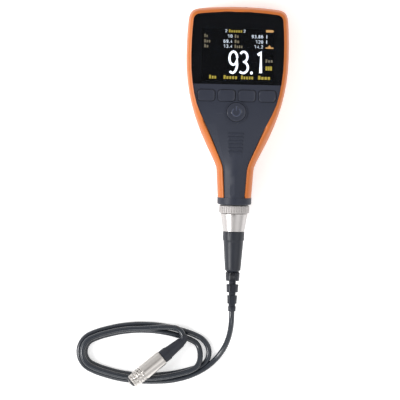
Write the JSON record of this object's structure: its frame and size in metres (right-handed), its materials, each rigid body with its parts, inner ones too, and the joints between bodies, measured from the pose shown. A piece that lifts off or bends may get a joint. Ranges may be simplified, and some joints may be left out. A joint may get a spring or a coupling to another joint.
{
  "type": "coating thickness gauge",
  "caption": "Hand-held coating thickness gauge with a display, soft keys, a rubber bumper and a plug-in probe on a coiled cable, lying on its back.",
  "frame": {"origin": "centre of the gauge's box in plan, at the back that it lies on", "axes": "+Z out of the display, +Y along the gauge towards its top end, +X to the right of the display"},
  "size_m": [0.1481, 0.2739, 0.037],
  "materials": {
    "bumper_orange": "soft matt rubber",
    "case_grey": "fine matt texture",
    "key_grey": "soft matt rubber",
    "lens_glass": "clear gloss",
    "mask_black": "gloss print",
    "screen_dark": "gloss",
    "frame_grey": "satin",
    "board_green": "satin",
    "chip_black": "matt",
    "inner_black": "satin",
    "seal_black": "matt",
    "flap_black": "matt",
    "cable_black": "satin",
    "boot_black": "satin",
    "steel": "fine brushed",
    "plug_metal": "polished",
    "spring_steel": "bright",
    "brass": "bright",
    "cell_wrap": "gloss",
    "flex_amber": "satin"
  },
  "bodies": {
    "housing": {"bumper": "bumper_orange", "front_case": "case_grey", "rear_case": "case_grey", "neck_collar": "case_grey", "display_lens": "lens_glass", "lens_mask": "mask_black", "display_module": "screen_dark", "display_frame": "frame_grey", "main_board": "board_green", "board_chips": "chip_black", "sounder": "chip_black", "usb_socket": "steel", "keypad_mat": "inner_black", "key_switches": "steel", "battery_cover": "case_grey", "cover_seal": "seal_black", "battery_1": "cell_wrap", "battery_2": "cell_wrap", "battery_springs": "spring_steel", "battery_contacts": "brass", "probe_socket": "steel", "socket_insert": "inner_black", "socket_pins": "brass", "socket_flex": "flex_amber", "case_screws": "steel", "board_screws": "steel", "plug_seal": "seal_black", "plug_sleeve": "plug_metal", "plug_insert": "inner_black", "strain_relief": "boot_black", "cable_tail": "cable_black", "cable_coil": "cable_black", "cable_lead": "cable_black", "probe_boot": "boot_black", "probe_core": "steel", "probe_face": "mask_black", "probe_pole": "steel", "probe_spring": "spring_steel"},
    "softkey_1_body": {"softkey_1": "key_grey"},
    "softkey_2_body": {"softkey_2": "key_grey"},
    "softkey_3_body": {"softkey_3": "key_grey"},
    "softkey_4_body": {"softkey_4": "key_grey"},
    "power_key_body": {"power_key": "key_grey"},
    "battery_latch_body": {"battery_latch": "inner_black"},
    "latch_bail_body": {"latch_bail": "steel"},
    "port_flap_body": {"port_flap": "flap_black"},
    "coupling_ring_body": {"coupling_ring": "plug_metal"},
    "probe_sleeve_body": {"probe_sleeve": "steel"}
  },
  "joints": [
    {"name": "softkey_1_press", "type": "slide", "parent": "housing", "child": "softkey_1_body", "axis": [0, 0, -1], "range_m": [0, 0.0008], "stiffness_N_per_m": 800},
    {"name": "softkey_2_press", "type": "slide", "parent": "housing", "child": "softkey_2_body", "axis": [0, 0, -1], "range_m": [0, 0.0008], "stiffness_N_per_m": 800},
    {"name": "softkey_3_press", "type": "slide", "parent": "housing", "child": "softkey_3_body", "axis": [0, 0, -1], "range_m": [0, 0.0008], "stiffness_N_per_m": 800},
    {"name": "softkey_4_press", "type": "slide", "parent": "housing", "child": "softkey_4_body", "axis": [0, 0, -1], "range_m": [0, 0.0008], "stiffness_N_per_m": 800},
    {"name": "power_key_press", "type": "slide", "parent": "housing", "child": "power_key_body", "axis": [0, 0, -1], "range_m": [0, 0.0008], "stiffness_N_per_m": 800},
    {"name": "latch_turn", "type": "hinge", "parent": "housing", "child": "battery_latch_body", "pos_m": [0, -0.0078, 0.004], "axis": [0, 0, 1], "range_deg": [0, 90]},
    {"name": "bail_swing", "type": "hinge", "parent": "battery_latch_body", "child": "latch_bail_body", "pos_m": [0, -0.0078, 0.0012], "axis": [-1, 0, 0], "range_deg": [0, 90]},
    {"name": "flap_open", "type": "hinge", "parent": "housing", "child": "port_flap_body", "pos_m": [0, 0.069, 0.02065], "axis": [-1, 0, 0], "range_deg": [0, 90]},
    {"name": "ring_turn", "type": "hinge", "parent": "housing", "child": "coupling_ring_body", "pos_m": [0, -0.074, 0.018], "axis": [0, 1, 0], "continuous": true},
    {"name": "sleeve_slide", "type": "slide", "parent": "housing", "child": "probe_sleeve_body", "axis": [-0.7633, -0.6289, 0.1478], "range_m": [0, 0.003], "stiffness_N_per_m": 300}
  ]
}
